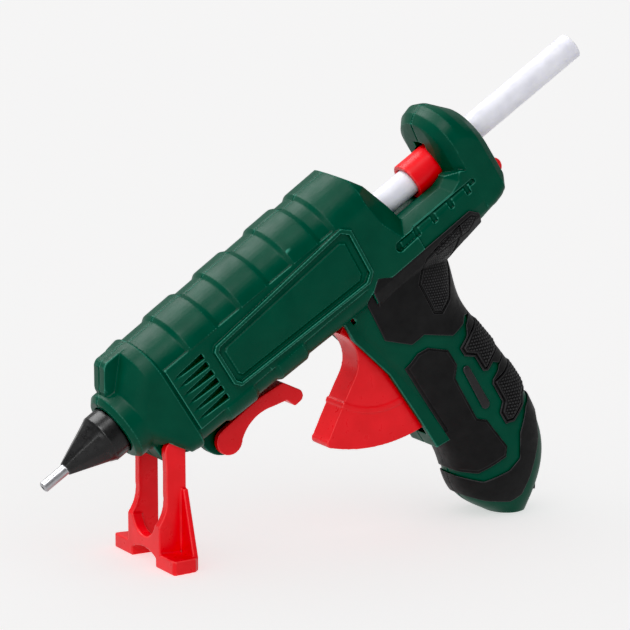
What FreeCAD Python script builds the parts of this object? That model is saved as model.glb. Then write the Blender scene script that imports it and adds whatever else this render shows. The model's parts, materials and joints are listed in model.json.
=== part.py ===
"""Hot glue gun standing on its fold-out stand and the heel of its handle, as a bench assembly.

Every part is drawn in the gun's own frame and placed at the end. In the gun's frame S runs back
along the glue stick's axis from the nozzle tip, H runs up square to it, and Y is across the gun,
with the left side at negative Y. place() tilts the gun nose down and stands it on Z = 0.
All sizes are in millimetres.
"""
import FreeCAD, Part
import math
import os

V = FreeCAD.Vector

# ---- stance ---------------------------------------------------------------------------------
TILT = 32.8            # the barrel's nose-down angle on the stand
FLOOR_DROP = 35.0      # height of the nozzle tip above the bench
CENTRE_X = 120.7       # distance from the nozzle tip to the middle of the gun along the bench

# ---- glue stick, nozzle and heater ----------------------------------------------------------
STICK_R = 5.6
STICK_S = (85.5, 285.0)
TUBE_R = 2.25
TUBE_LEN = 11.2
ORIFICE_R = 0.9
CONE_S = (11.3, 29.6)
CONE_R = (2.95, 10.0)
CONE_BASE_R = 10.25
CHAMBER_S = (42.4, 92.0)
CHAMBER_R = 9.8
FEED_BORE_R = 5.9

# ---- housing --------------------------------------------------------------------------------
WALL = 2.6
BOSS_S = (36.0, 46.0)
BOSS_R = 15.0
FLANGE_S = (53.7, 59.6)
BARREL_S = (59.0, 178.0)
BELT_S = (60.6, 150.0)
BELT_H = (-15.5, 14.0)
BELT_PROUD = 0.9
BAND_PROUD = 1.2
BAND_START = 0.12
BANDS = ((72.4, 89.0), (99.0, 115.4), (126.4, 142.2))
HUMP_S = 148.0
CAVITY_START = 62.5
CORNER_R = 7.0
ARCH_H = 12.0
BODY_W = 18.5          # half width of the rear body beside the window
CHANNEL_R = 8.5        # trough and bore that the red feed collar slides in
WINDOW_FLOOR = -4.3
GRIP_PROUD = 0.8       # how far the soft grips stand out of the green shells

# ---- mechanism ------------------------------------------------------------------------------
TRIGGER_PIVOT = (150.0, -30.0)
TRIGGER_W = 6.5
TRIGGER_PIN_R = 2.0
TRIGGER_PIN_Y = 14.2
LINK_H = -10.5         # height of the link pins that the trigger's fork pushes
LINK_PIN_R = 1.5
COLLAR_S = (193.5, 215.5)
COLLAR_R = (6.0, 8.0)
HUB_Y = 9.6
ARM_Y = (7.7, 9.6)
ROD_Y = (10.2, 12.2)
ROD_H = (-16.0, -12.4)
CARRIER_S = (203.0, 210.0)

STAND_PIVOT = (48.4, -18.0)
STAND_Y = (10.0, 13.5)
STAND_PIN_R = 2.0
LATCH_PIVOT = (71.6, -34.3)
LATCH_Y = (2.8, 5.5)
LATCH_PIN_R = 1.5
LATCH_BOSS_R = 5.7
RUN_FIT = 0.05         # radial clearance of a shaft in a hole that turns on it

SWITCH_H = (-18.2, -9.2)
SWITCH_W = 13.4
SWITCH_FACE = 225.8

INLET_AT = (219.6, 14.0)        # rear face and height of the mains inlet, in the placed frame
INLET_SIZE = (15.0, 18.0, 11.0)
PIN_PITCH = 8.6

SCREWS = ((69.0, 16.2), (98.0, -18.6), (128.0, 16.2), (166.0, -25.5), (214.0, 14.2),
          (168.0, -100.0), (156.0, -127.0))
SCREW_BOSS_R = 3.4
SCREW_R = 1.45
SCREW_HEAD_R = 2.9


# ---- drawing helpers ------------------------------------------------------------------------
def outline(points, y):
    """Closed wire in the plane Y = y. A point is (s, h), or ((mid), (end)) for an arc."""
    edges = []
    start = V(points[0][0], y, points[0][1])
    here = start
    for item in list(points[1:]) + [points[0]]:
        if isinstance(item[0], tuple):
            mid = V(item[0][0], y, item[0][1])
            end = V(item[1][0], y, item[1][1])
            edges.append(Part.Arc(here, mid, end).toShape())
        else:
            end = V(item[0], y, item[1])
            edges.append(Part.makeLine(here, end))
        here = end
    return Part.Wire(edges)


def prism(points, y0, y1):
    """Side-view outline carried across the gun from y0 to y1."""
    return Part.Face(outline(points, y0)).extrude(V(0, y1 - y0, 0))


def mirror_pair(shape):
    return [shape, shape.mirror(V(0, 0, 0), V(0, 1, 0))]


def rod_s(radius, s0, s1, h=0.0, y=0.0):
    return Part.makeCylinder(radius, s1 - s0, V(s0, y, h), V(1, 0, 0))


def rod_y(radius, at, y0, y1):
    return Part.makeCylinder(radius, y1 - y0, V(at[0], y0, at[1]), V(0, 1, 0))


def box(s, y, h):
    return Part.makeBox(s[1] - s[0], y[1] - y[0], h[1] - h[0], V(s[0], y[0], h[0]))


def turned(profile):
    """Solid of revolution about the stick's axis from (s, radius) points."""
    points = [V(s, 0, r) for s, r in profile]
    face = Part.Face(Part.makePolygon(points + points[:1]))
    return face.revolve(V(0, 0, 0), V(1, 0, 0), 360)


def add(first, others):
    """Fuse solids one after another, keeping their edges."""
    for other in others:
        first = first.fuse(other)
    return first


def join(shapes):
    """Fuse solids into one and merge the faces that run on."""
    shapes = list(shapes)
    return add(shapes[0], shapes[1:]).removeSplitter() if len(shapes) > 1 else shapes[0]


def arch(s, half_width, top, bottom, arch_h=ARCH_H, corner=CORNER_R):
    """Section across the gun: flat bottom, round corners, upright sides and an arched top."""
    low = -bottom
    inner = half_width - corner
    bend = corner * math.sin(math.pi / 4)
    corner_h = low + corner
    crown = Part.Ellipse(V(s, half_width, arch_h), V(s, 0, top), V(s, 0, arch_h))
    edges = [Part.makeLine(V(s, -inner, low), V(s, inner, low)),
             Part.Arc(V(s, inner, low), V(s, inner + bend, corner_h - bend),
                      V(s, half_width, corner_h)).toShape(),
             Part.makeLine(V(s, half_width, corner_h), V(s, half_width, arch_h)),
             Part.ArcOfEllipse(crown, 0, math.pi).toShape(),
             Part.makeLine(V(s, -half_width, arch_h), V(s, -half_width, corner_h)),
             Part.Arc(V(s, -half_width, corner_h), V(s, -inner - bend, corner_h - bend),
                      V(s, -inner, low)).toShape()]
    return Part.Wire(edges)


def barrel_at(s, grow=0.0):
    """Barrel section, which widens slowly towards the rear."""
    back = s - FLANGE_S[1]
    return arch(s, 17.5 + 0.0085 * back + grow, 24.7 + 0.018 * back + grow,
                22.4 + 0.022 * back + grow, corner=CORNER_R + grow)


def loft(wires, ruled=True):
    return Part.makeLoft(wires, True, ruled)


def oval(h, s0, s1, half_width, grow=0.0, power=2.5, count=20):
    """Handle section square to the handle: a rounded-square oval from s0 to s1."""
    middle = (s0 + s1) / 2
    reach = (s1 - s0) / 2 + grow
    width = half_width + grow
    points = []
    for step in range(count):
        angle = 2 * math.pi * step / count
        c, k = math.cos(angle), math.sin(angle)
        points.append(V(middle + reach * math.copysign(abs(c) ** (2 / power), c),
                        width * math.copysign(abs(k) ** (2 / power), k), h))
    curve = Part.BSplineCurve()
    curve.interpolate(points, PeriodicFlag=True)
    return Part.Wire(curve.toShape())


def place(shape):
    """From the gun's own frame to its stance on the bench."""
    placed = shape.copy()
    placed.rotate(V(0, 0, 0), V(0, 1, 0), -TILT)
    placed.translate(V(-CENTRE_X, 0, FLOOR_DROP))
    return placed


def unplace(shape):
    """From the stance on the bench to the gun's own frame."""
    moved = shape.copy()
    moved.translate(V(CENTRE_X, 0, -FLOOR_DROP))
    moved.rotate(V(0, 0, 0), V(0, 1, 0), TILT)
    return moved


def export(name, shape):
    solids = shape.Solids
    body = solids[0] if len(solids) == 1 else Part.makeCompound(solids)
    placed = place(body)
    placed.exportStep("parts/%s.step" % name)
    print("%-24s %2d solid  %9.1f mm3  valid %s" % (name, len(solids), body.Volume, body.isValid()))


# ---- housing shells -------------------------------------------------------------------------
HANDLE = ((-19.0, 135.0, 190.0, 16.8), (-30.0, 136.2, 189.5, 16.8), (-40.0, 137.5, 187.6, 16.6),
          (-50.0, 139.6, 185.2, 16.2), (-65.0, 142.6, 186.4, 15.8), (-80.0, 145.0, 188.6, 15.6),
          (-95.0, 146.6, 189.8, 15.8), (-108.0, 146.0, 189.4, 16.2), (-118.0, 143.6, 188.0, 16.4),
          (-127.0, 144.2, 184.8, 15.6), (-134.5, 147.9, 179.0, 13.9), (-140.5, 151.2, 171.6, 11.6),
          (-147.0, 156.0, 163.6, 7.0))
HOOP = ((205.4, 9.5, 12.0, 20.0, 4.9), (207.4, 14.8, 18.9, 22.6, 8.0), (210.8, 18.6, 21.6, 24.8, 7.6),
        (215.0, 18.9, 22.6, 24.6, 8.4), (218.4, 18.9, 20.8, 23.8, 6.4), (221.6, 18.4, 17.2, 22.6, 2.4),
        (225.0, 15.6, 13.4, 19.2, -2.0))
REAR_SIDE = ((150.0, -2.0), (208.0, -2.0), (216.0, -8.0), (222.0, -18.0), (219.6, -22.4),
             (207.0, -25.8), (197.5, -28.0), ((189.6, -31.2), (185.2, -38.0)), (184.6, -46.0),
             (150.0, -46.0))
NOTCH = ((163.2, 30.0), (171.4, 17.5), (176.0, 4.0), (178.0, WINDOW_FLOOR), (199.0, WINDOW_FLOOR),
         (202.8, -2.6), (204.9, 1.4), (205.8, 7.5), (207.4, 19.0), (207.6, 40.0), (163.0, 40.0))
NOTCH_OUT = ((159.2, 32.0), (165.4, 19.0), (168.4, 3.0), (172.8, -7.4), (200.4, -7.4),
             (205.8, -5.4), (208.7, -0.6), (209.7, 6.0), (210.6, 14.0), (210.8, 40.0), (156.0, 40.0))
NOTCH_EDGE_Y = 12.8


def rear_section(grow):
    """End view of the rear body: upright sides that turn in below."""
    w = BODY_W + grow
    points = [(-w, 8), (-w, -19.0), (-w + 1.0, -23.4), (-w + 5.0, -28.6 - grow), (-9.0, -33.0 - grow),
              (9.0, -33.0 - grow), (w - 5.0, -28.6 - grow), (w - 1.0, -23.4), (w, -19.0), (w, 8)]
    wire = Part.makePolygon([V(140, y, h) for y, h in points] + [V(140, points[0][0], points[0][1])])
    return Part.Face(wire).extrude(V(100, 0, 0))


def rear_body(grow=0.0):
    side = prism(REAR_SIDE, -30, 30)
    if grow:
        lowered = side.copy()
        lowered.translate(V(0, 0, -grow))
        side = join([side, lowered])
    return side.common(rear_section(grow))


def handle_blank(grow=0.0):
    return loft([oval(h, s0, s1, w, grow) for h, s0, s1, w in HANDLE], ruled=False)


def floor_block():
    return unplace(Part.makeBox(400, 200, 100, V(-200, -100, -100)))


def raised_band(s0, s1):
    """Stepped ring around the barrel, with sloping edges, on the top and along the bottom."""
    ring = loft([barrel_at(s0, BAND_START), barrel_at(s0 + 1.7, BAND_PROUD),
                 barrel_at(s1 - 1.9, BAND_PROUD), barrel_at(s1, BAND_START)])
    keep = [box((s0, s1), (-30, 30), (BELT_H[1] - 0.1, 40))]
    if s1 < 120:
        keep.append(box((s0, s1), (-30, 30), (-40, BELT_H[0] + 0.1)))
    return [ring.common(part) for part in keep]


def fin():
    """Upright rib on top of the front flange, with chamfered sides."""
    side = ((39.2, 12.0), (39.8, 16.4), (44.4, 23.6), ((45.8, 25.3), (48.2, 25.8)),
            (56.0, 25.8), (56.0, 12.0))
    whole = prism(side, -4.6, 4.6)
    ends = Part.Face(Part.makePolygon([V(s, y, 0) for s, y in
                                       ((38, -2.6), (41, -4.8), (57, -4.8), (57, 4.8), (41, 4.8),
                                        (38, 2.6), (38, -2.6))])).extrude(V(0, 0, 40))
    return whole.common(ends)


def stand_block():
    """Bearing block under the boss, between the stand's legs."""
    side = ((43.0, -9.0), (43.4, -19.0), ((45.0, -22.2), (48.4, -23.2)), (56.0, -23.4), (56.0, -9.0))
    return prism(side, -STAND_Y[0] + 0.3, STAND_Y[0] - 0.3)


def latch_lug():
    """Thin lug under the barrel that carries the stand catch."""
    side = ((60.0, -19.0), (62.4, -30.5), ((64.0, -35.6), (68.0, -39.2)), (74.6, -38.6), (77.4, -34.0),
            (77.4, -19.0))
    return prism(side, -LATCH_Y[0] + 0.35, LATCH_Y[0] - 0.35)


def trigger_surround():
    """Squared frame down the front of the handle, round the trigger's slot."""
    side = ((136.0, -21.0), (135.6, -34.0), (141.2, -56.0), (142.2, -80.0), (142.4, -95.4),
            (149.8, -96.8), (152.0, -21.0))
    return prism(side, -10.0, 10.0)


def side_details():
    """Label field surround, window rail and guide groove on both flanks, as added and cut shapes."""
    frame = ((81.0, -8.8), (83.2, -11.6), (150.6, -13.6), (154.2, -10.4), (155.0, 9.8),
             (151.4, 13.2), (83.0, 8.9), (81.0, 7.2))
    rim = ((82.6, -8.2), (84.2, -10.4), (149.4, -12.3), (152.6, -9.9), (153.3, 8.7),
           (150.4, 11.5), (84.2, 7.5), (82.6, 6.0))
    field = ((85.2, -6.9), (86.4, -8.4), (147.6, -10.2), (149.6, -8.4), (150.2, 6.6),
             (148.4, 7.9), (86.4, 4.9), (85.2, 3.9))
    added = mirror_pair(prism(frame, -20.2, -17.0))
    moat = prism(rim, -25.0, -18.6).cut(prism(field, -19.3, -17.0))
    return added, mirror_pair(moat)


def vents():
    """Six tapering air slots behind the flange on each side, deepest at their rear ends."""
    slots = []
    for row in range(6):
        h = 8.4 - 4.0 * row
        wedge = prism(((60.8, h + 0.35), (76.9, h + 1.35), (76.9, h - 1.35), (60.8, h - 0.35)), -22.0, -15.6)
        floor = Part.Face(Part.makePolygon([V(60.0, -18.6, -30), V(77.4, -15.7, -30), V(77.4, -24, -30),
                                            V(60.0, -24, -30), V(60.0, -18.6, -30)]))
        slots.append(wedge.common(floor.extrude(V(0, 0, 60))))
    shapes = []
    for slot in slots:
        shapes += mirror_pair(slot)
    return shapes


def rail():
    """Rounded guide rail with four notches, sunk below the window on each side."""
    groove = ((168.6, -7.9), (209.6, -7.9), ((211.4, -8.8), (211.2, -10.0)), (170.4, -12.2),
              ((168.0, -11.6), (167.4, -9.6)))
    bar = ((170.6, -9.1), (208.6, -8.9), (208.6, -10.0), (170.6, -11.6))
    sunk = prism(groove, -25.0, -17.6).cut(prism(bar, -18.3, -15.0))
    notches = [box((178.0 + 9.2 * k, 180.2 + 9.2 * k), (-25.0, -17.5), (-12.5, -8.0)) for k in range(4)]
    return mirror_pair(join([sunk] + notches))


def bevel(side):
    """Chamfer cutter along the edge of the window notch on one side."""
    edge = outline(NOTCH, side * NOTCH_EDGE_Y)
    spread = 1.18
    outer = [(a[0] + (b[0] - a[0]) * spread, a[1] + (b[1] - a[1]) * spread)
             for a, b in zip(NOTCH, NOTCH_OUT)]
    return loft([edge, outline(outer, side * (NOTCH_EDGE_Y + 6.2 * spread))])


def shell_blank():
    """Whole outside of the green housing, solid."""
    shapes = [turned([(BOSS_S[0], 0), (BOSS_S[0], BOSS_R - 2.0), (BOSS_S[0] + 2.0, BOSS_R),
                      (BOSS_S[1], BOSS_R), (BOSS_S[1], 0)]),
              loft([arch(43.6, 14.9, 14.9, 14.9, 0.0, 14.8),
                    arch(FLANGE_S[0], 17.0, 25.9, 23.9)]),
              loft([arch(FLANGE_S[0], 17.0, 25.9, 23.9), arch(FLANGE_S[1] - 0.7, 18.3, 26.3, 24.2),
                    arch(FLANGE_S[1], 17.8, 25.8, 23.6)]),
              loft([barrel_at(BARREL_S[0]), barrel_at(BARREL_S[1])]),
              loft([barrel_at(BELT_S[0], BELT_PROUD), barrel_at(BELT_S[1], BELT_PROUD)]).common(
                  box(BELT_S, (-30, 30), BELT_H)),
              loft([barrel_at(HUMP_S, BAND_START), barrel_at(HUMP_S + 1.8, BAND_PROUD),
                    barrel_at(BARREL_S[1], BAND_PROUD)]),
              fin(), stand_block(), latch_lug()]
    for s0, s1 in BANDS:
        shapes += raised_band(s0, s1)
    front = join(shapes).cut(prism(PANELS["upper_grip"], -30, 30))
    hoop = loft([arch(s, w, top, low, arch_h, 4.0) for s, w, top, low, arch_h in HOOP])
    whole = join([front, rear_body(), hoop, handle_blank(), trigger_surround()])
    added, cut = side_details()
    whole = join([whole] + added)
    cutters = cut + vents() + rail() + [prism(NOTCH, -30, 30), bevel(1), bevel(-1), floor_block()]
    return whole.cut(cutters)


def hollow():
    """Everything taken out of the inside of the shells."""
    barrel = loft([barrel_at(CAVITY_START, -WALL), barrel_at(176.0, -WALL)]).common(
        prism(((50, -30), (50, 30), (158.6, 30), (167.4, 17), (171.8, 3), (172.6, -8), (172.6, -30)),
              -30, 30))
    rear_outline = ((152.0, -11.4), (221.0, -11.4), (219.6, -17.0), (217.0, -20.4), (206.4, -23.2),
                    (197.0, -25.2), ((187.6, -28.8), (183.4, -37.0)), (183.2, -44.0), (152.0, -44.0))
    rear = prism(rear_outline, -30, 30).common(rear_section(-WALL))
    grip = loft([oval(h, s0, s1, w, -WALL) for h, s0, s1, w in HANDLE[:-1]], ruled=False)
    front_bore = rod_s(12.6, 40.0, CAVITY_START + 1.0)
    mouth = rod_s(CONE_BASE_R + 0.3, 30.0, 41.0)
    trough = rod_s(CHANNEL_R, 169.0, 217.0)
    crown = box((203.0, 217.0), (-4.2, 4.2), (6.0, 10.3))
    exit_hole = rod_s(STICK_R + 0.7, 216.0, 240.0)
    slot = box((193.8, 210.8), (-2.8, 2.8), (-13.0, -6.0))
    trigger_slot = prism(((118.0, -18.0), (152.0, -18.0), (156.0, -40.0), (156.0, -89.0),
                          (130.0, -89.0), (118.0, -60.0)), -TRIGGER_W - 0.8, TRIGGER_W + 0.8)
    arm_room = box((139.0, 160.0), (-ARM_Y[1] - 1.0, ARM_Y[1] + 1.0), (-28.0, -13.0))
    return [barrel, rear, grip, front_bore, mouth, trough, crown, exit_hole, slot, trigger_slot, arm_room]


def leg_pockets():
    """Clearance in the flange for the stand's legs as they fold."""
    sweep = prism(((48.4, -12.8), (53.0, -13.6), (57.0, -17.6), (62.0, -22.0), (62.0, -30.0),
                   (40.0, -30.0), (42.6, -14.0)), -STAND_Y[1] - 0.4, -STAND_Y[0] + 0.4)
    return mirror_pair(sweep)


def supports():
    """Ribs, pin bosses and screw bosses moulded inside both shells."""
    ring = rod_s(17.5, 88.0, 90.0).cut(rod_s(CHAMBER_R + 0.1, 87.0, 91.0))
    front_ring = rod_s(17.5, 63.4, 65.4).cut(rod_s(CHAMBER_R + 0.1, 62.0, 67.0))
    clear = box((55.0, 95.0), (-7.0, 7.0), (-30.0, 0.0))
    ribs = [ring.cut(clear), front_ring.cut(clear)]
    posts = [rod_y(SCREW_BOSS_R, at, -19.0, 19.0) for at in SCREWS]
    pivot = mirror_pair(rod_y(4.6, TRIGGER_PIVOT, -17.0, -12.2))
    return ribs + posts + pivot


def screw_seat(at):
    """Distance of a screw head's seat from the parting plane; it is less in the slim handle."""
    return 12.4 if -90 < at[1] < 10 else 10.4


def drilled_holes():
    """Screw and pin holes, cut after the bosses are in place."""
    cuts = []
    for at in SCREWS:
        cuts += [rod_y(SCREW_R + RUN_FIT, at, -11.0, 25.0),
                 rod_y(SCREW_HEAD_R + 0.2, at, screw_seat(at), 25.0)]
    cuts.append(rod_y(TRIGGER_PIN_R + 0.02, TRIGGER_PIVOT, -TRIGGER_PIN_Y, TRIGGER_PIN_Y))
    cuts.append(rod_y(STAND_PIN_R + 0.02, STAND_PIVOT, -12.0, 12.0))
    cuts.append(rod_y(LATCH_PIN_R + 0.02, LATCH_PIVOT, -6.0, 6.0))
    return cuts


def inlet_box(grow):
    x_face, z = INLET_AT
    x, y, h = INLET_SIZE
    return unplace(Part.makeBox(x + 2 * grow + 12, y + 2 * grow, h + 2 * grow,
                                V(x_face - CENTRE_X - x - grow, -y / 2 - grow, z - h / 2 - grow)))


def switch_opening(grow):
    return box((215.4 - grow, 240.0), (-SWITCH_W - grow, SWITCH_W + grow),
               (SWITCH_H[0] - grow, SWITCH_H[1] + grow))


def housing():
    blank = shell_blank()
    shell = blank.cut(hollow() + leg_pockets())
    inside = [post.common(blank) for post in supports()]
    shell = add(shell, inside)
    shell = shell.cut(drilled_holes() + [inlet_box(0.05), switch_opening(0.05)])
    left = shell.common(box((0, 300), (-40, 0), (-200, 60)))
    right = shell.common(box((0, 300), (0, 40), (-200, 60)))
    for name, half in (("housing_left", left), ("housing_right", right)):
        largest = max(half.Solids, key=lambda solid: solid.Volume)
        export(name, largest.removeSplitter())
    return blank


# ---- soft grips -----------------------------------------------------------------------------
PANELS = {
    "upper_grip": ((146.4, -20.9), (154.4, -14.6), (160.0, -18.2), (202.6, -17.8), (206.0, -21.6),
                   (206.0, -42.0), (194.0, -45.0), (194.0, -56.8), (182.8, -57.4), (180.6, -55.8),
                   (177.8, -57.6), (170.6, -57.6), (160.0, -48.4), (153.6, -48.6), (145.4, -40.4)),
    "front_grip": ((146.8, -56.6), (153.8, -53.4), (159.0, -54.2), (165.8, -60.8), (166.0, -69.0),
                   (162.4, -73.2), (161.6, -93.8), (164.8, -97.0), (166.4, -112.4), (163.6, -115.8),
                   (150.4, -115.0), (145.4, -111.4), (141.0, -106.0), (141.0, -92.6), (148.6, -91.4)),
    "upper_rear_pad": ((170.4, -64.2), (176.2, -62.4), (178.8, -59.2), (183.2, -58.0), (194.0, -57.4),
                       (194.0, -82.4), (182.8, -82.4), (180.4, -79.8), (176.2, -80.6), (174.2, -79.2),
                       (174.2, -71.8), (170.4, -68.2)),
    "lower_rear_pad": ((174.8, -86.6), (176.0, -85.2), (180.4, -84.2), (182.4, -83.0), (194.0, -83.0),
                       (194.0, -101.0), (185.4, -101.2), (182.6, -104.0), (174.6, -106.0),
                       (170.6, -104.2), (170.8, -98.6), (174.4, -95.6)),
    "heel_boot": ((194.0, -104.4), (183.2, -105.8), (173.8, -112.0), (168.2, -120.6), (161.8, -121.9),
                  (150.5, -119.4), (141.4, -110.2), (136.0, -105.0), (136.0, -112.0), (141.8, -121.6),
                  (147.8, -128.6), (156.0, -135.2), (161.8, -135.8), (168.8, -131.2), (180.8, -120.8),
                  (184.2, -116.0), (187.0, -113.0), (194.0, -112.0)),
}
PLATE = ((166.6, -73.0), ((168.2, -71.8), (169.8, -73.2)), (169.6, -91.6), ((167.6, -93.2), (165.6, -91.6)))


def grips(blank):
    """Soft overmoulded panels, one of each on either side, and the slim type plate."""
    skin = join([rear_body(GRIP_PROUD), handle_blank(GRIP_PROUD)])
    layer = skin.cut([blank, inlet_box(0.05), floor_block()])
    for name, points in PANELS.items():
        for side, y in (("left", (-40.0, 0.0)), ("right", (0.0, 40.0))):
            panel = layer.common(prism(points, y[0], y[1]))
            solids = [solid for solid in panel.Solids if solid.Volume > 20.0]
            export("%s_%s" % (name, side), join(solids))
    plate = layer.common(prism(PLATE, -40.0, 0.0))
    export("type_plate", max(plate.Solids, key=lambda solid: solid.Volume))


# ---- nozzle and heater ----------------------------------------------------------------------
def nozzle():
    body = turned([(0, 0), (0, 1.7), (0.5, TUBE_R), (TUBE_LEN, TUBE_R), (27.0, 6.6), (27.0, 8.2),
                   (32.6, 8.2), (32.6, 4.9), (48.0, 4.9), (48.0, 0)])
    export("nozzle", body.cut([rod_s(ORIFICE_R, -1, 14), turned([(13, 0), (13, ORIFICE_R), (24, 3.0),
                                                                (49.0, 3.0), (49.0, 0)])]))


def nozzle_sleeve():
    body = turned([(CONE_S[0], 0), (CONE_S[0], CONE_R[0]), (CONE_S[1], CONE_R[1]),
                   (CONE_S[1], CONE_BASE_R), (37.6, CONE_BASE_R), (37.6, 0)])
    lip = rod_s(12.2, 40.2, 41.6)
    neck = rod_s(CONE_BASE_R, 37.0, 41.6)
    inside = turned([(10.0, 0), (10.0, TUBE_R + 0.1), (TUBE_LEN, TUBE_R + 0.1), (26.8, 6.75),
                     (26.8, 8.35), (42.0, 8.35), (42.0, 0)])
    sleeve = join([body, lip.fuse(neck)]).cut(inside)
    flats = []
    for step in range(8):
        flat = box((CONE_S[0] - 2, CONE_S[1] - 0.8), (-14, 14), (0, 8))
        slope = math.degrees(math.atan2(CONE_R[1] - CONE_R[0], CONE_S[1] - CONE_S[0]))
        flat.rotate(V(0, 0, 0), V(0, 1, 0), -slope)
        flat.translate(V(CONE_S[0] * (1 - math.cos(math.radians(slope))), 0,
                         CONE_R[0] - 0.28 - CONE_S[0] * math.sin(math.radians(slope))))
        flat.rotate(V(0, 0, 0), V(1, 0, 0), 22.5 + 45 * step)
        flats.append(flat)
    export("nozzle_sleeve", sleeve.cut(flats))


def heater_group():
    s0, s1 = CHAMBER_S
    pocket = box((66.0, 90.0), (-5.0, 5.0), (-16.6, -11.6))
    chamber = join([rod_s(CHAMBER_R, s0, s1), box((63.4, 88.0), (-6.6, 6.6), (-18.4, -6.0))])
    bore = turned([(s0 - 1, 0), (s0 - 1, 3.0), (50.0, 3.0), (62.0, FEED_BORE_R), (s1 + 1, FEED_BORE_R),
                   (s1 + 1, 0)])
    socket = rod_s(4.95, s0 - 1, 48.2)
    export("melt_chamber", chamber.cut([bore, socket, pocket]))
    export("heating_element", box((66.4, 87.0), (-4.6, 4.6), (-16.0, -12.2)))
    clip = box((68.5, 84.0), (-7.7, 7.7), (-19.6, -10.2)).cut(box((67.0, 85.0), (-6.7, 6.7),
                                                                   (-18.5, -9.0)))
    export("heater_clip", clip)
    export("inlet_sleeve", rod_s(8.4, s1 + 0.1, 121.0).cut(rod_s(FEED_BORE_R, s1 - 1, 122.0)))
    export("sleeve_clamp", rod_s(9.5, 96.0, 100.0).cut(rod_s(8.45, 95.0, 101.0)))
    export("front_insulator", rod_s(12.5, 43.2, 50.0).cut(rod_s(CHAMBER_R + 0.05, 43.0, 51.0)))
    export("feed_bush", rod_s(CHANNEL_R - 0.05, 172.8, 174.4).cut(rod_s(FEED_BORE_R, 172, 175)))
    export("glue_stick", rod_s(STICK_R, STICK_S[0], STICK_S[1]))


# ---- trigger and feed -----------------------------------------------------------------------
def trigger():
    side = ((133.2, -29.0), ((135.6, -39.6), (129.4, -48.4)), ((119.0, -54.4), (106.2, -62.2)),
            ((104.4, -64.0), (105.4, -66.0)), ((123.4, -79.4), (146.6, -86.2)), (149.0, -84.6),
            (151.0, -56.0), (156.0, -33.0), (153.0, -25.0), (140.0, -25.5))
    blade = prism(side, -TRIGGER_W, TRIGGER_W)
    hub = rod_y(6.3, TRIGGER_PIVOT, -HUB_Y, HUB_Y)
    s, h = TRIGGER_PIVOT
    arm = prism(((s - 3.9, h), (s + 3.9, h), (s + 3.9, -7.2), (s - 3.9, -7.2)), -ARM_Y[1], -ARM_Y[0])
    fork = box((s - LINK_PIN_R - 0.42, s + LINK_PIN_R + 0.42), (-14, 14), (-15.0, -5.0))
    rib = prism(((119.6, -53.4), ((131.4, -65.4), (147.0, -69.0)), (147.0, -71.2),
                 ((130.2, -67.0), (118.0, -54.6))), -TRIGGER_W - 0.35, TRIGGER_W + 0.35)
    body = join([blade, hub, rib] + mirror_pair(arm))
    export("trigger", body.cut([fork, rod_y(TRIGGER_PIN_R + RUN_FIT, TRIGGER_PIVOT, -20, 20)]))
    export("trigger_pin", rod_y(TRIGGER_PIN_R, TRIGGER_PIVOT, -TRIGGER_PIN_Y + 0.2, TRIGGER_PIN_Y - 0.2))


def feed_carriage():
    """Collar round the glue stick, with the rods that the trigger's fork pushes forward."""
    collar = rod_s(COLLAR_R[1], *COLLAR_S)
    post = box(CARRIER_S, (-2.3, 2.3), (ROD_H[0], -6.6))
    plate = box(CARRIER_S, (-ROD_Y[1], ROD_Y[1]), ROD_H)
    s = TRIGGER_PIVOT[0]
    rods = mirror_pair(box((s - 3.0, CARRIER_S[1]), (-ROD_Y[1], -ROD_Y[0]), ROD_H))
    tabs = mirror_pair(box((s - 3.0, s + 3.0), (-ROD_Y[1], -ROD_Y[0]), (ROD_H[1] - 1, LINK_H + 2.6)))
    pins = mirror_pair(rod_y(LINK_PIN_R, (s, LINK_H), -ROD_Y[0] - 1.0, -ARM_Y[0] + 0.5))
    body = join([collar, post, plate] + rods + tabs + pins)
    export("feed_collar", body.cut(rod_s(COLLAR_R[0], 190, 220)))


def return_spring():
    """Torsion spring on the trigger's pin: closed coils at either end of the hub."""
    coils = []
    for turn in range(2):
        y = HUB_Y + 0.65 + 0.9 * turn
        ring = Part.makeTorus(2.6, 0.4, V(TRIGGER_PIVOT[0], y, TRIGGER_PIVOT[1]), V(0, 1, 0))
        coils += mirror_pair(ring)
    export("trigger_spring", Part.makeCompound(coils))


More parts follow.
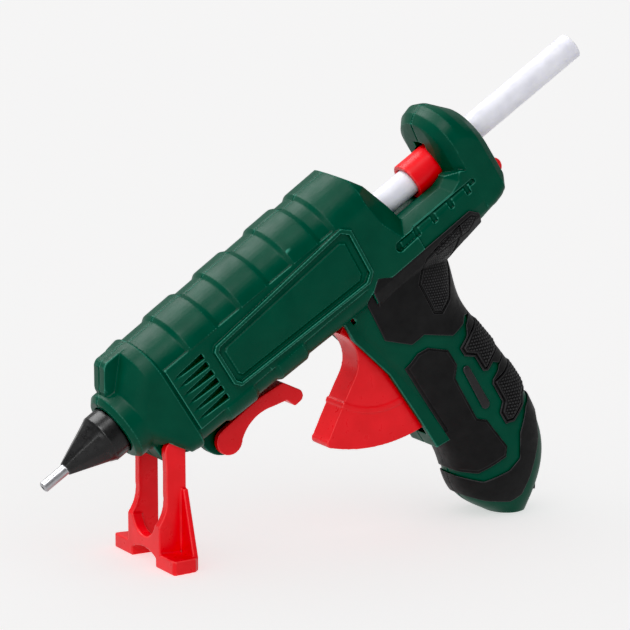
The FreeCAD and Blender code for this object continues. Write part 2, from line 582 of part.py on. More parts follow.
# ---- stand and its catch --------------------------------------------------------------------
def stand():
    """Fold-out stand, drawn upright on the bench: two legs, flared feet and an arched cross-bar."""
    pivot = place(Part.Vertex(V(STAND_PIVOT[0], 0, STAND_PIVOT[1]))).Point
    x, z = pivot.x, pivot.z
    y0, y1 = STAND_Y
    front, back = x - 7.4, x + 4.6
    leg = ((x - 4.4, z), ((x, z + 4.4), (x + 4.4, z)), (x + 4.6, 20.0), (back, 5.0), (back, 0.6),
           (back - 0.6, 0.0), (front + 0.6, 0.0), (front, 0.6), (front, 16.8),
           ((x - 5.0, 21.0), (x - 4.0, 29.0)), (x - 3.9, 38.0))
    foot = Part.makePolygon([V(px, py, 0) for px, py in
                             ((front, -y0), (front, -24.6), (front + 1.0, -25.6), (x + 2.6, -24.6),
                              (back, -22.8), (back, -y0), (front, -y0))])
    rib_x = back - 2.2
    gusset = Part.makePolygon([V(rib_x, -y0 - 0.5, 0.5), V(rib_x, -23.2, 0.5),
                               V(rib_x, -23.2, 5.6), V(rib_x, -y1 - 1.6, 31.0),
                               V(rib_x, -y0 - 0.5, 31.0), V(rib_x, -y0 - 0.5, 0.5)])
    bar = Part.makeBox(4.4, 2 * y0 + 4, 13.8, V(front, -y0 - 2, 3.0))
    opening = Part.makeCylinder(y0, 30, V(x - 15, 0, 20.2), V(1, 0, 0))
    arch_below = Part.makeCylinder(22.0, 30, V(x - 15, 0, -16.2), V(1, 0, 0))
    pieces = (mirror_pair(prism(leg, -y1, -y0))
              + mirror_pair(Part.Face(foot).extrude(V(0, 0, 5.6)))
              + mirror_pair(Part.Face(gusset).extrude(V(2.2, 0, 0)))
              + [bar.cut([opening, arch_below])])
    body = unplace(join(pieces))
    export("stand", body.cut(rod_y(STAND_PIN_R + RUN_FIT, STAND_PIVOT, -12.2, 12.2)))
    export("stand_pin", rod_y(STAND_PIN_R, STAND_PIVOT, -12.0, 12.0))


def stand_catch():
    """Sprung lever under the barrel: forked boss, straight arm and hooked tip."""
    s, h = LATCH_PIVOT
    arm = ((s, h + LATCH_BOSS_R), (79.6, -28.2), (91.6, -28.0), (103.0, -29.6), (107.4, -36.8),
           ((107.4, -39.6), (105.8, -41.0)), (102.2, -41.2), (100.6, -36.9), (94.0, -34.9),
           ((83.5, -34.0), (76.2, -37.6)))
    whole = join([rod_y(LATCH_BOSS_R, LATCH_PIVOT, -LATCH_Y[1], LATCH_Y[1]),
                  prism(arm, -LATCH_Y[1], LATCH_Y[1])])
    gap = box((60.0, 79.2), (-LATCH_Y[0], LATCH_Y[0]), (-50.0, -20.0))
    export("stand_catch", whole.cut([gap, rod_y(LATCH_PIN_R + RUN_FIT, LATCH_PIVOT, -4.6, 4.6)]))
    export("catch_pin", rod_y(LATCH_PIN_R, LATCH_PIVOT, -4.4, 4.4))


# ---- electrics ------------------------------------------------------------------------------
def power_switch():
    low, high = SWITCH_H
    frame = box((219.0, SWITCH_FACE), (-SWITCH_W, SWITCH_W), (low, high))
    window = box((218.0, 240.0), (-SWITCH_W + 1.0, SWITCH_W - 1.0), (low + 1.0, high - 1.0))
    export("switch_bezel", frame.cut(window))
    cap = ((217.6, low + 1.3), (SWITCH_FACE + 0.6, low + 1.3),
           ((SWITCH_FACE + 2.2, (low + high) / 2), (SWITCH_FACE + 0.6, high - 1.3)), (217.6, high - 1.3))
    export("power_button", prism(cap, -SWITCH_W + 1.3, SWITCH_W - 1.3))
    export("switch_body", box((212.2, 215.8), (-6.0, 6.0), (-18.8, -12.0)))


def mains_inlet():
    """Recessed two-pin inlet in the back of the heel, for a detachable lead."""
    x_face, z = INLET_AT
    x, y, h = INLET_SIZE
    left = x_face - CENTRE_X - x
    body = Part.makeBox(x, y, h, V(left, -y / 2, z - h / 2))
    pocket = Part.makeBox(x, y - 4.0, h - 3.6, V(left + 3.5, -y / 2 + 2.0, z - h / 2 + 1.8))
    holes = [Part.makeCylinder(1.15, 8, V(left - 1, side * PIN_PITCH / 2, z), V(1, 0, 0))
             for side in (-1, 1)]
    export("mains_inlet", unplace(body.cut([pocket] + holes)))
    pins = [Part.makeCylinder(1.15, 11.5, V(left, side * PIN_PITCH / 2, z), V(1, 0, 0))
            for side in (-1, 1)]
    export("inlet_pins", unplace(Part.makeCompound(pins)))


def control_board():
    board = box((174.4, 176.0), (-9.0, 9.0), (-84.0, -52.0))
    parts = [box((175.9, 180.5), (-6.0, 1.0), (-66.0, -57.0)), rod_s(3.0, 175.9, 181.0, -76.0, 4.0),
             box((175.9, 178.4), (2.5, 7.5), (-68.0, -60.0))]
    export("control_board", join([board] + parts))


def lead_run(points, radius):
    shapes = []
    for a, b in zip(points, points[1:]):
        step = b.sub(a)
        shapes.append(Part.makeCylinder(radius, step.Length, a, step))
    shapes += [Part.makeSphere(radius, p) for p in points[1:-1]]
    return join(shapes)


def heater_leads():
    route = [V(91.0, 14.2, -13.0), V(155.0, 14.2, -13.4), V(160.0, 12.9, -21.0), V(160.4, 12.6, -34.0),
             V(171.4, 8.0, -51.0), V(172.8, 7.6, -56.0)]
    lead = lead_run(route, 0.75)
    export("heater_leads", Part.makeCompound(mirror_pair(lead)))


def screws():
    solids = []
    for at in SCREWS:
        seat = screw_seat(at)
        top = seat + 2.4
        shank = rod_y(SCREW_R, at, -8.0, seat + 0.2)
        head = rod_y(SCREW_HEAD_R, at, seat, top)
        cross = [box((at[0] - 1.7, at[0] + 1.7), (top - 1.0, top + 1), (at[1] - 0.35, at[1] + 0.35)),
                 box((at[0] - 0.35, at[0] + 0.35), (top - 1.0, top + 1), (at[1] - 1.7, at[1] + 1.7))]
        solids.append(shank.fuse(head).removeSplitter().cut(cross))
    export("housing_screws", Part.makeCompound([solid.Solids[0] for solid in solids]))


def build():
    os.makedirs("parts", exist_ok=True)
    blank = housing()
    grips(blank)
    nozzle()
    nozzle_sleeve()
    heater_group()
    trigger()
    feed_carriage()
    return_spring()
    stand()
    stand_catch()
    power_switch()
    mains_inlet()
    control_board()
    heater_leads()
    screws()


build()
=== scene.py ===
"""Looks of the hot glue gun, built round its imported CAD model.

Sizes are in millimetres in the gun's own frame unless a name says otherwise: s runs back along the
glue stick from the nozzle tip, y across the gun (its left side is negative) and h square to both.
"""
import json
import math

import bpy
import numpy as np
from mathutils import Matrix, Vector

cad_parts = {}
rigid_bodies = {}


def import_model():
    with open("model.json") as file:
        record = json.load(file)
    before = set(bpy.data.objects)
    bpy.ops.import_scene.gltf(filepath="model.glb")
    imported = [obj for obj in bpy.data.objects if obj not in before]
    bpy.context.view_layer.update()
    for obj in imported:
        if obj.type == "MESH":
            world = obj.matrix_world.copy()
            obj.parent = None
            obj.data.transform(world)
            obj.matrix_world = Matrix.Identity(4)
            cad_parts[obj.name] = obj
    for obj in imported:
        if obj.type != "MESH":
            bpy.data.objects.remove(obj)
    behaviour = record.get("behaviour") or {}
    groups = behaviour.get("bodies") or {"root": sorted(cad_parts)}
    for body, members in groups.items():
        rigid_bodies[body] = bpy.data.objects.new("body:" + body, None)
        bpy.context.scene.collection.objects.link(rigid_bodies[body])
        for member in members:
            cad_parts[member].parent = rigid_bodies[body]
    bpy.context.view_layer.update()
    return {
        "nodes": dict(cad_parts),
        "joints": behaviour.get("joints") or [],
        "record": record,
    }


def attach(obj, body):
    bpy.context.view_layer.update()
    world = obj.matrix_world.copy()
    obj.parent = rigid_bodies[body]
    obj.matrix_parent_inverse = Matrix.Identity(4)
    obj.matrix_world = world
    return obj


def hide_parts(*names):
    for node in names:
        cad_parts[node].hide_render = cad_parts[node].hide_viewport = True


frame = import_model()
NODES = frame["nodes"]
JOINTS = {joint["name"]: joint for joint in frame["joints"]}
BODY_OF = {node: body for body, nodes in frame["record"]["behaviour"]["bodies"].items()
           for node in nodes}
SLOT_OF = {part["node"]: part["material_slot"] for part in frame["record"]["subparts"]}
MM = 0.001

# ---- the gun's own frame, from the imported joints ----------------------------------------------
ALONG = Vector(JOINTS["stick_slide"]["axis"]).normalized()
ACROSS = Vector((0.0, 1.0, 0.0))
UP = ALONG.cross(ACROSS)
STAND_PIVOT = (48.4, -18.0)
TIP = Vector(JOINTS["stand_fold"]["pos_m"]) - (ALONG * STAND_PIVOT[0] + UP * STAND_PIVOT[1]) * MM
TO_GUN = np.array([ALONG, ACROSS, UP])


# ---- camera, floor and light ------------------------------------------------------------------
CAMERA_AZIMUTH = -29.8
CAMERA_ELEVATION = 11.9
CAMERA_DISTANCE = 1.5
CAMERA_TARGET = Vector((-0.00047, 0.0, 0.09022))
FIELD_OF_VIEW = 9.507
WORLD_STRENGTH = 0.38
FLOOR_GLOW = 0.575
BLACK_LEVEL = 0.009
CLIP_END = 50.0
FLOOR_SIZE = 30.0
FLOOR_COLOUR = (0.90, 0.89, 0.89)
WHITE = (1.0, 1.0, 1.0, 1.0)
LAMP_TARGET = Vector((0.0, 0.0, 0.08))
SUN_SPREAD = math.radians(25)


def camera():
    """A long lens, low at the gun's left front."""
    turn, lift = math.radians(CAMERA_AZIMUTH), math.radians(CAMERA_ELEVATION)
    back = Vector((math.sin(turn) * math.cos(lift), -math.cos(turn) * math.cos(lift), math.sin(lift)))
    data = bpy.data.cameras.new("camera")
    data.angle = math.radians(FIELD_OF_VIEW)
    data.clip_end = CLIP_END
    made = bpy.data.objects.new("camera", data)
    made.location = CAMERA_TARGET + back * CAMERA_DISTANCE
    made.rotation_euler = back.to_track_quat("Z", "Y").to_euler()
    bpy.context.scene.collection.objects.link(made)
    bpy.context.scene.camera = made


def lamp(name, kind, energy, place, **settings):
    """A lamp at this place of the scene, in metres, aimed at the middle of the gun."""
    data = bpy.data.lights.new(name, kind)
    data.energy = energy
    for key, value in settings.items():
        setattr(data, key, value)
    made = bpy.data.objects.new(name, data)
    made.location = place
    made.rotation_euler = (Vector(place) - LAMP_TARGET).to_track_quat("Z", "Y").to_euler()
    bpy.context.scene.collection.objects.link(made)


def studio():
    """White room with a glowing white floor, and three lamps."""
    scene = bpy.context.scene
    scene.view_settings.view_transform = "Standard"
    scene.view_settings.use_curve_mapping = True
    scene.view_settings.curve_mapping.black_level = (BLACK_LEVEL, BLACK_LEVEL, BLACK_LEVEL)
    scene.view_settings.curve_mapping.update()
    world = bpy.data.worlds.new("studio")
    world.use_nodes = True
    background = world.node_tree.nodes["Background"]
    background.inputs["Color"].default_value = WHITE
    background.inputs["Strength"].default_value = WORLD_STRENGTH
    scene.world = world
    lamp("key", "SUN", 1.4, (-0.9, -0.8, 1.6), angle=SUN_SPREAD)
    lamp("top_softbox", "AREA", 7.5, (-0.30, 0.45, 0.80), size=0.6)
    lamp("side_softbox", "AREA", 2.5, (-0.75, -0.75, 0.40), size=0.4)
    bpy.ops.mesh.primitive_plane_add(size=FLOOR_SIZE)
    floor = bpy.context.object
    floor.name = "floor"
    floor.data.materials.append(plain("floor_paint", FLOOR_COLOUR, 1.0, Specular_IOR_Level=0.0,
                                      Emission_Color=WHITE, Emission_Strength=FLOOR_GLOW))


def light_only_the_gun():
    """The lamps light the gun; the floor has the even studio light alone."""
    lit = bpy.data.collections.new("lit")
    for made in bpy.context.scene.objects:
        if made.type == "MESH" and made.name != "floor":
            lit.objects.link(made)
    for made in bpy.context.scene.objects:
        if made.type == "LIGHT":
            made.light_linking.receiver_collection = lit


# ---- material helpers -------------------------------------------------------------------------
EDGE_MARK = "edge_curve"
# Curvature bands and strength of the painted highlight on outward edges and of the painted shade in
# corners.
EDGE_HIGHLIGHT_FROM = (0.14, 0.62)
CORNER_SHADE_FROM = (-0.12, -0.55)
CORNER_SHADE_MOST = 0.75
NOISE_LOW = 0.3
NOISE_HIGH = 0.7


def plain(name, colour, roughness, **sockets):
    """A Principled material with flat values. Socket names are written with underscores."""
    material = bpy.data.materials.new(name)
    material.use_nodes = True
    shader = material.node_tree.nodes["Principled BSDF"]
    shader.inputs["Base Color"].default_value = (*colour, 1.0)
    shader.inputs["Roughness"].default_value = roughness
    for socket, value in sockets.items():
        shader.inputs[socket.replace("_", " ")].default_value = value
    return material


def node(material, kind, **inputs):
    made = material.node_tree.nodes.new("ShaderNode" + kind)
    for name, value in inputs.items():
        made.inputs[name.replace("_", " ")].default_value = value
    return made


def link(material, source, target):
    material.node_tree.links.new(source, target)


def shader_of(material):
    return material.node_tree.nodes["Principled BSDF"]


def noise(material, size_mm, detail=3.0, stretch=(1.0, 1.0, 1.0)):
    """Noise whose features are about size_mm across, shrunk along each axis by stretch."""
    place = node(material, "TexCoord")
    mapping = node(material, "Mapping", Scale=stretch)
    made = node(material, "TexNoise", Scale=1.0 / (size_mm * MM), Detail=detail)
    link(material, place.outputs["Object"], mapping.inputs["Vector"])
    link(material, mapping.outputs["Vector"], made.inputs["Vector"])
    return made.outputs["Fac"]


def mottle(material, dark, light, size_mm):
    """Base colour that drifts between two colours."""
    blend = node(material, "ValToRGB")
    for element, place, tint in zip(blend.color_ramp.elements, (NOISE_LOW, NOISE_HIGH), (dark, light)):
        element.position = place
        element.color = (*tint, 1.0)
    link(material, noise(material, size_mm), blend.inputs["Fac"])
    link(material, blend.outputs["Color"], shader_of(material).inputs["Base Color"])
    return blend.outputs["Color"]


def map_range(material, source, low, high, low_out, high_out):
    """A value held between two ends, stretched to a new range."""
    spread = node(material, "MapRange")
    ends = {"From Min": low, "From Max": high, "To Min": low_out, "To Max": high_out}
    for socket, value in ends.items():
        spread.inputs[socket].default_value = value
    link(material, source, spread.inputs["Value"])
    return spread.outputs["Result"]


def paint_edge_highlight_and_corner_shade(material, base, edge_highlight, dark, edge_highlight_most):
    """Paler colour along outward edges as a painted highlight, and darker colour down in corners as
    painted shade.
    """
    mark = node(material, "Attribute")
    mark.attribute_name = EDGE_MARK
    colour = base
    # First the painted highlight on outward edges, then the painted shade in corners.
    for tint, low, high, amount in ((edge_highlight, *EDGE_HIGHLIGHT_FROM, edge_highlight_most), (dark, *CORNER_SHADE_FROM, CORNER_SHADE_MOST)):
        share = map_range(material, mark.outputs["Fac"], low, high, 0.0, amount)
        mix = material.node_tree.nodes.new("ShaderNodeMix")
        mix.data_type = "RGBA"
        mix.inputs["B"].default_value = (*tint, 1.0)
        link(material, share, mix.inputs["Factor"])
        link(material, colour, mix.inputs["A"])
        colour = mix.outputs["Result"]
    link(material, colour, shader_of(material).inputs["Base Color"])


def uneven_gloss(material, low, high, size_mm):
    """Roughness that drifts between two values."""
    gloss = map_range(material, noise(material, size_mm), NOISE_LOW, NOISE_HIGH, low, high)
    link(material, gloss, shader_of(material).inputs["Roughness"])


def bump(material, height, depth_mm, strength=1.0):
    """Bump from a height output, on top of any bump already there."""
    made = node(material, "Bump", Strength=strength, Distance=depth_mm * MM)
    normal = shader_of(material).inputs["Normal"]
    if normal.is_linked:
        link(material, normal.links[0].from_socket, made.inputs["Normal"])
    link(material, height, made.inputs["Height"])
    link(material, made.outputs["Normal"], normal)


# ---- materials --------------------------------------------------------------------------------
def green_plastic():
    """Spark-eroded glass-filled nylon: satin, with a fine grain, a painted highlight along its edges
    and painted shade in its corners.
    """
    material = plain("green_plastic", (0.0, 0.05, 0.03), 0.42, Specular_IOR_Level=0.16)
    base = mottle(material, (0.0002, 0.047, 0.026), (0.0008, 0.056, 0.031), 9.0)
    # Painted highlight along outward edges and painted shade in corners.
    paint_edge_highlight_and_corner_shade(material, base, (0.05, 0.26, 0.19), (0.0, 0.012, 0.006), 0.75)
    uneven_gloss(material, 0.36, 0.46, 5.0)
    bump(material, noise(material, 0.55, 4.0), 0.04, 0.6)
    bump(material, noise(material, 3.0, 2.0), 0.05, 0.3)
    return material


def soft_rubber():
    """Overmoulded soft grip: near-black, matt, with a fine grain."""
    material = plain("soft_rubber", (0.007, 0.007, 0.0073), 0.5, Specular_IOR_Level=0.2)
    base = mottle(material, (0.0055, 0.0055, 0.0058), (0.0085, 0.0085, 0.0088), 6.0)
    # Painted highlight along outward edges and painted shade in corners.
    paint_edge_highlight_and_corner_shade(material, base, (0.05, 0.05, 0.052), (0.002, 0.002, 0.002), 0.6)
    uneven_gloss(material, 0.42, 0.56, 2.5)
    bump(material, noise(material, 0.35, 4.0), 0.04, 0.6)
    return material


def red_plastic():
    """Glossy red moulding."""
    material = plain("red_plastic", (0.72, 0.008, 0.013), 0.3, Specular_IOR_Level=0.25)
    base = mottle(material, (0.68, 0.007, 0.011), (0.76, 0.009, 0.015), 8.0)
    # Painted highlight along outward edges and painted shade in corners.
    paint_edge_highlight_and_corner_shade(material, base, (0.90, 0.09, 0.09), (0.36, 0.0, 0.003), 0.45)
    uneven_gloss(material, 0.26, 0.38, 3.0)
    bump(material, noise(material, 0.8, 2.0), 0.02, 0.4)
    return material


def black_plastic():
    """Smooth black moulding."""
    material = plain("black_plastic", (0.007, 0.007, 0.0073), 0.3, Specular_IOR_Level=0.35)
    base = mottle(material, (0.0055, 0.0055, 0.0058), (0.008, 0.008, 0.0083), 4.0)
    # Painted highlight along outward edges and painted shade in corners.
    paint_edge_highlight_and_corner_shade(material, base, (0.05, 0.05, 0.052), (0.002, 0.002, 0.002), 0.5)
    uneven_gloss(material, 0.24, 0.36, 2.0)
    bump(material, noise(material, 0.6, 3.0), 0.02, 0.4)
    return material


def turned_metal(name, colour, roughness):
    """Bare metal with fine tool marks."""
    material = plain(name, colour, roughness, Metallic=1.0)
    mottle(material, tuple(0.88 * c for c in colour), colour, 1.5)
    uneven_gloss(material, roughness - 0.06, roughness + 0.1, 1.0)
    bump(material, noise(material, 0.5, 2.0, (1.0, 0.05, 1.0)), 0.004, 0.4)
    return material


def hot_melt():
    """Milky translucent glue."""
    material = plain("hot_melt", (0.70, 0.70, 0.75), 0.35, Subsurface_Weight=0.8,
                     Subsurface_Radius=(0.6, 0.6, 0.7), Subsurface_Scale=0.004, IOR=1.48)
    mottle(material, (0.64, 0.64, 0.70), (0.74, 0.74, 0.79), 7.0)
    uneven_gloss(material, 0.30, 0.42, 4.0)
    bump(material, noise(material, 1.6, 2.0), 0.03, 0.3)
    return material


def ceramic(name, colour):
    """Dull fired or coated surface."""
    material = plain(name, colour, 0.6)
    mottle(material, tuple(0.85 * c for c in colour), colour, 1.2)
    bump(material, noise(material, 0.4, 3.0), 0.02, 0.4)
    return material


def woven_sleeve():
    """Glass-braid sleeve on the heater leads."""
    material = plain("woven_sleeve", (0.72, 0.69, 0.6), 0.8)
    mottle(material, (0.55, 0.52, 0.45), (0.78, 0.75, 0.66), 0.5)
    weave = node(material, "TexVoronoi", Scale=1.0 / (0.4 * MM))
    bump(material, weave.outputs["Distance"], 0.08, 0.8)
    return material


MATERIALS = {
    "green_shell": green_plastic(),
    "soft_grip": soft_rubber(),
    "red_plastic": red_plastic(),
    "black_sleeve": black_plastic(),
    "nickel_nozzle": turned_metal("nickel", (0.42, 0.42, 0.44), 0.3),
    "cast_aluminium": turned_metal("cast_aluminium", (0.6, 0.6, 0.62), 0.45),
    "heater_ceramic": ceramic("heater_ceramic", (0.78, 0.76, 0.72)),
    "hot_melt_glue": hot_melt(),
    "circuit_board": ceramic("solder_resist", (0.02, 0.18, 0.06)),
    "lead_insulation": woven_sleeve(),
    "steel": turned_metal("zinc_plated_steel", (0.55, 0.55, 0.57), 0.35),
    "brass_pins": turned_metal("brass", (0.78, 0.58, 0.28), 0.25),
}
MATERIALS["black_plastic"] = MATERIALS["black_sleeve"]
MATERIALS["silicone"] = MATERIALS["soft_grip"]


# ---- mesh helpers -----------------------------------------------------------------------------
# Remesh cell, rounds of smoothing and share of the faces kept.
VOXEL, SOFTEN, KEEP = 0.36, 1, 0.4
GRIP_VOXEL, GRIP_SOFTEN, GRIP_KEEP = 0.24, 2, 0.9
RED_SOFTEN = 3
HOUSING_KEEP = 0.2
SMOOTHING = 0.5
SHORTEST_EDGE_SQUARED = 1e-4
SHARPEST = 2.0


def set_material(obj, material):
    obj.data.materials.clear()
    obj.data.materials.append(material)


def apply_modifiers(obj):
    """Bakes an object's modifiers into its mesh."""
    graph = bpy.context.evaluated_depsgraph_get()
    mesh = bpy.data.meshes.new_from_object(obj.evaluated_get(graph))
    obj.modifiers.clear()
    obj.data = mesh


def gun_points(mesh):
    """Vertex places in the gun's frame, in millimetres, and their normals there."""
    count = len(mesh.vertices)
    places = np.empty(count * 3)
    normals = np.empty(count * 3)
    mesh.vertices.foreach_get("co", places)
    mesh.vertex_normals.foreach_get("vector", normals)
    places = (places.reshape(-1, 3) - np.array(TIP)) / MM
    return places @ TO_GUN.T, normals.reshape(-1, 3) @ TO_GUN.T


def move_points(mesh, points):
    """Puts vertices at these places of the gun's frame."""
    places = (points @ TO_GUN) * MM + np.array(TIP)
    mesh.vertices.foreach_set("co", places.ravel())
    mesh.update()


def mark_edges(mesh):
    """Stores each vertex's mean curvature per millimetre, above nought on outward edges."""
    points, normals = gun_points(mesh)
    ends = np.empty(len(mesh.edges) * 2, dtype=int)
    mesh.edges.foreach_get("vertices", ends)
    first, last = ends.reshape(-1, 2).T
    step = points[first] - points[last]
    squared = np.maximum((step ** 2).sum(axis=1), SHORTEST_EDGE_SQUARED)
    counts = np.bincount(np.concatenate([first, last]), minlength=len(points))
    bend = (np.bincount(first, (normals[first] * step).sum(axis=1) / squared, len(points))
            - np.bincount(last, (normals[last] * step).sum(axis=1) / squared, len(points)))
    bend = np.clip(bend / np.maximum(counts, 1), -SHARPEST, SHARPEST)
    around = np.bincount(first, bend[last], len(points)) + np.bincount(last, bend[first], len(points))
    bend = (bend + around / np.maximum(counts, 1)) / 2.0
    mesh.attributes.new(EDGE_MARK, "FLOAT", "POINT").data.foreach_set("value", bend)


def moulded(name, voxel=VOXEL, soften=SOFTEN, relief=None, keep=KEEP):
    """A CAD node as moulded plastic: its edges rounded, and any relief raised along its normals."""
    source = NODES[name]
    piece = bpy.data.objects.new(name + "_moulded", source.data.copy())
    bpy.context.scene.collection.objects.link(piece)
    remesh = piece.modifiers.new("remesh", "REMESH")
    remesh.mode = "VOXEL"
    remesh.voxel_size = voxel * MM * 1.0
    remesh.use_smooth_shade = True
    smooth = piece.modifiers.new("smooth", "SMOOTH")
    smooth.factor = SMOOTHING
    smooth.iterations = soften
    apply_modifiers(piece)
    if relief:
        points, normals = gun_points(piece.data)
        move_points(piece.data, points + normals * relief(points, normals)[:, None])
    thin = piece.modifiers.new("thin", "DECIMATE")
    thin.ratio = keep
    apply_modifiers(piece)
    piece.data.shade_smooth()
    mark_edges(piece.data)
    set_material(piece, MATERIALS[SLOT_OF[name]])
    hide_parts(name)
    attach(piece, BODY_OF[name])


# ---- reliefs of the soft grips ----------------------------------------------------------------
EDGE_FADE = 0.25
FACE_TURNED = (0.35, 0.6)
# Ribs: row pitch and rib length, the gap between ribs, and where the crown ends and the foot starts
# as shares of the pitch and of the length.
GRIP_RIBS = (1.1, 0.9)
PAD_RIBS = (1.25, 1.05)
RIB_GAP = 0.45
ROW_TOP, ROW_FOOT = 0.16, 0.42
RIB_TOP, RIB_FOOT = 0.3, 0.62
# Upper grip: each height, and the two depths inside an outline between which it comes in.
INLAY_MOAT, INLAY_MOAT_HALF = 0.5, 0.4
INLAY_SUNK, INLAY_STEP = 0.15, (0.2, 0.8)
INLAY_RIB, INLAY_RIB_EDGE = 0.28, (0.9, 1.4)
STRIP_MOAT, STRIP_MOAT_HALF = 0.25, 0.2
STRIP_RIB, STRIP_RIB_EDGE = 0.2, (0.4, 0.8)
# Share of the ribs' height left at the top, and how far below the stick it starts and stops growing.
FAINT_RIBS, RIBS_GROW = 0.3, (24.0, 40.0)
# Rear pads and front grip, in the same way.
FIELD_RAISED, FIELD_EDGE = 0.35, (1.5, 1.9)
FIELD_MOAT, FIELD_MOAT_IN, FIELD_MOAT_HALF = 0.35, 1.2, 0.2
PAD_RIB, PAD_RIB_EDGE = 0.34, (2.2, 2.6)
BORDER_SUNK, BORDER_EDGE = 0.28, (0.8, 1.3)
# Seam between the shells: its fade across, and how far sideways a face may look and still carry it.
SEAM_DEPTH = 0.3
SEAM_FADE = (0.15, 0.55)
SEAM_FACES = 0.7
FAR_AWAY = 1e9
NO_RISE = 1e-9


def depth_inside(points, outline):
    """Distance of each point's side view inside a closed outline, negative outside it."""
    here = points[:, (0, 2)]
    nearest = np.full(len(here), FAR_AWAY)
    inside = np.zeros(len(here), dtype=bool)
    for start, end in zip(outline, outline[1:] + outline[:1]):
        start, end = np.array(start), np.array(end)
        edge = end - start
        along = np.clip((here - start) @ edge / (edge @ edge), 0.0, 1.0)
        nearest = np.minimum(nearest, np.linalg.norm(here - start - along[:, None] * edge, axis=1))
        crosses = (start[1] > here[:, 1]) != (end[1] > here[:, 1])
        rise = end[1] - start[1] if end[1] != start[1] else NO_RISE
        inside ^= crosses & (here[:, 0] < start[0] + edge[0] * (here[:, 1] - start[1]) / rise)
    return np.where(inside, nearest, -nearest)


def ramp(value, start, end):
    """Nought before start, one after end and straight between."""
    return np.clip((value - start) / (end - start), 0.0, 1.0)


def groove(depth, centre, half):
    """One along a line at this depth inside an outline, fading to nothing beside it."""
    return 1.0 - ramp(np.abs(depth - centre), half, half + EDGE_FADE)


def dashes(points, pitch, length):
    """Staggered short ribs in level rows, as the gun stands on its stand."""
    across = points[:, 0] * ALONG.x + points[:, 2] * UP.x
    up = points[:, 0] * ALONG.z + points[:, 2] * UP.z
    row = np.floor(up / pitch)
    in_row = np.abs(up / pitch - row - 0.5) * pitch
    shifted = across / (length + RIB_GAP) + 0.5 * (row % 2)
    in_dash = np.abs(shifted - np.floor(shifted) - 0.5) * (length + RIB_GAP)
    row_height = 1.0 - ramp(in_row, ROW_TOP * pitch, ROW_FOOT * pitch)
    return row_height * (1.0 - ramp(in_dash, RIB_TOP * length, RIB_FOOT * length))


def outward(normals):
    """How squarely a face looks out to either side or to the rear of the handle."""
    return ramp(np.maximum(np.abs(normals[:, 1]), normals[:, 0]), *FACE_TURNED)


# Outlines are (s, h) corners of the side view.
INLAY = [(177.1, -22.5), (169.2, -29.6), (168.7, -43.7), (171.8, -46.3), (178.4, -44.5),
         (194.7, -24.6), (195.6, -20.6)]
UPPER_PAD = [(170.4, -64.2), (176.2, -62.4), (178.8, -61.6), (194.0, -60.4), (194.0, -78.8),
             (180.8, -79.2), (176.2, -80.6), (174.2, -79.2), (174.2, -71.8), (170.4, -68.2)]
LOWER_PAD = [(174.8, -86.6), (176.0, -85.2), (182.4, -85.8), (194.0, -86.0), (194.0, -101.0),
             (185.4, -101.2), (182.6, -104.0), (174.6, -106.0), (170.6, -104.2), (170.8, -98.6),
             (174.4, -95.6)]
FRONT_GRIP = [(146.8, -56.6), (153.8, -53.4), (159.0, -54.2), (165.8, -60.8), (166.0, -69.0),
              (162.4, -73.2), (161.6, -93.8), (164.8, -97.0), (166.4, -112.4), (163.6, -115.8),
              (150.4, -115.0), (145.4, -111.4), (141.0, -106.0), (141.0, -92.6), (148.6, -91.4)]
STRIP = [(181.2, -21.6), (186.8, -20.2), (202.4, -20.0), (204.0, -22.0), (199.0, -25.6),
         (182.0, -24.4)]


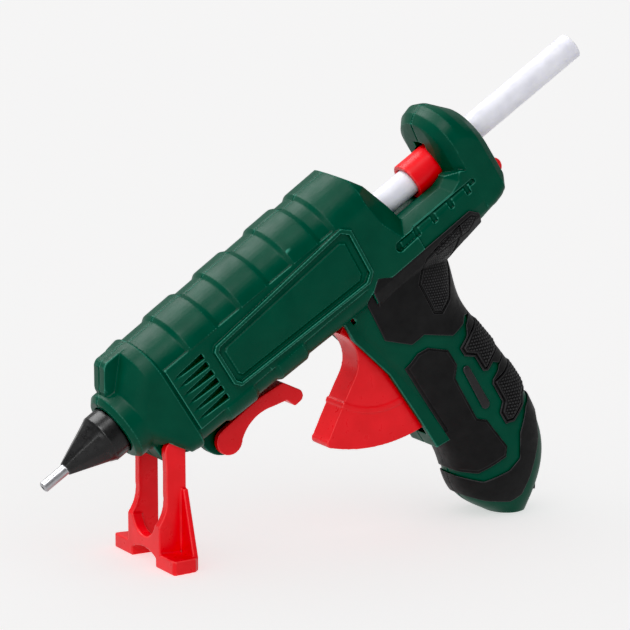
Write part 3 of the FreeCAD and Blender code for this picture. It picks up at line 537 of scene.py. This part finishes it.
def upper_grip_relief(points, normals):
    """Ribbed inlay and strip, each inside a groove, the ribs fading towards the top."""
    inlay = depth_inside(points, INLAY)
    strip = depth_inside(points, STRIP)
    ribs = dashes(points, *GRIP_RIBS)
    strength = FAINT_RIBS + (1.0 - FAINT_RIBS) * ramp(-points[:, 2], *RIBS_GROW)
    height = -INLAY_MOAT * groove(inlay, 0.0, INLAY_MOAT_HALF)
    height -= INLAY_SUNK * ramp(inlay, *INLAY_STEP)
    height -= STRIP_MOAT * groove(strip, 0.0, STRIP_MOAT_HALF)
    height += INLAY_RIB * ribs * ramp(inlay, *INLAY_RIB_EDGE) * strength
    height += STRIP_RIB * ribs * ramp(strip, *STRIP_RIB_EDGE)
    return height * outward(normals)


def pad_relief(outline):
    """Raised ribbed field with a groove round it, some way inside a pad's outline."""
    def relief(points, normals):
        depth = depth_inside(points, outline)
        height = FIELD_RAISED * ramp(depth, *FIELD_EDGE)
        height -= FIELD_MOAT * groove(depth, FIELD_MOAT_IN, FIELD_MOAT_HALF)
        height += PAD_RIB * dashes(points, *PAD_RIBS) * ramp(depth, *PAD_RIB_EDGE)
        return height * outward(normals)
    return relief


def front_grip_relief(points, normals):
    """Lowered border."""
    depth = depth_inside(points, FRONT_GRIP)
    return -BORDER_SUNK * (1.0 - ramp(depth, *BORDER_EDGE)) * outward(normals)


def parting_line(points, normals):
    """Fine seam where the two shells meet."""
    near = 1.0 - ramp(np.abs(points[:, 1]), *SEAM_FADE)
    return -SEAM_DEPTH * near * (np.abs(normals[:, 1]) < SEAM_FACES)


# ---- pieces -----------------------------------------------------------------------------------
RELIEFS = {"upper_grip": upper_grip_relief, "front_grip": front_grip_relief,
           "upper_rear_pad": pad_relief(UPPER_PAD), "lower_rear_pad": pad_relief(LOWER_PAD)}
MOULDED = {"housing_left": parting_line, "housing_right": parting_line, "trigger": None, "stand": None,
           "stand_catch": None, "feed_collar": None, "nozzle_sleeve": None, "mains_inlet": None,
           "switch_bezel": None, "power_button": None, "type_plate": None}

camera()
studio()
for cad_name, cad_object in NODES.items():
    set_material(cad_object, MATERIALS[SLOT_OF[cad_name]])
    if cad_name in MOULDED:
        soften = RED_SOFTEN if SLOT_OF[cad_name] == "red_plastic" else SOFTEN
        keep = HOUSING_KEEP if cad_name.startswith("housing") else KEEP
        moulded(cad_name, soften=soften, relief=MOULDED[cad_name], keep=keep)
for grip, relief in RELIEFS.items():
    for side in ("left", "right"):
        moulded(f"{grip}_{side}", GRIP_VOXEL, GRIP_SOFTEN, relief, GRIP_KEEP)
for side in ("left", "right"):
    moulded(f"heel_boot_{side}")
light_only_the_gun()
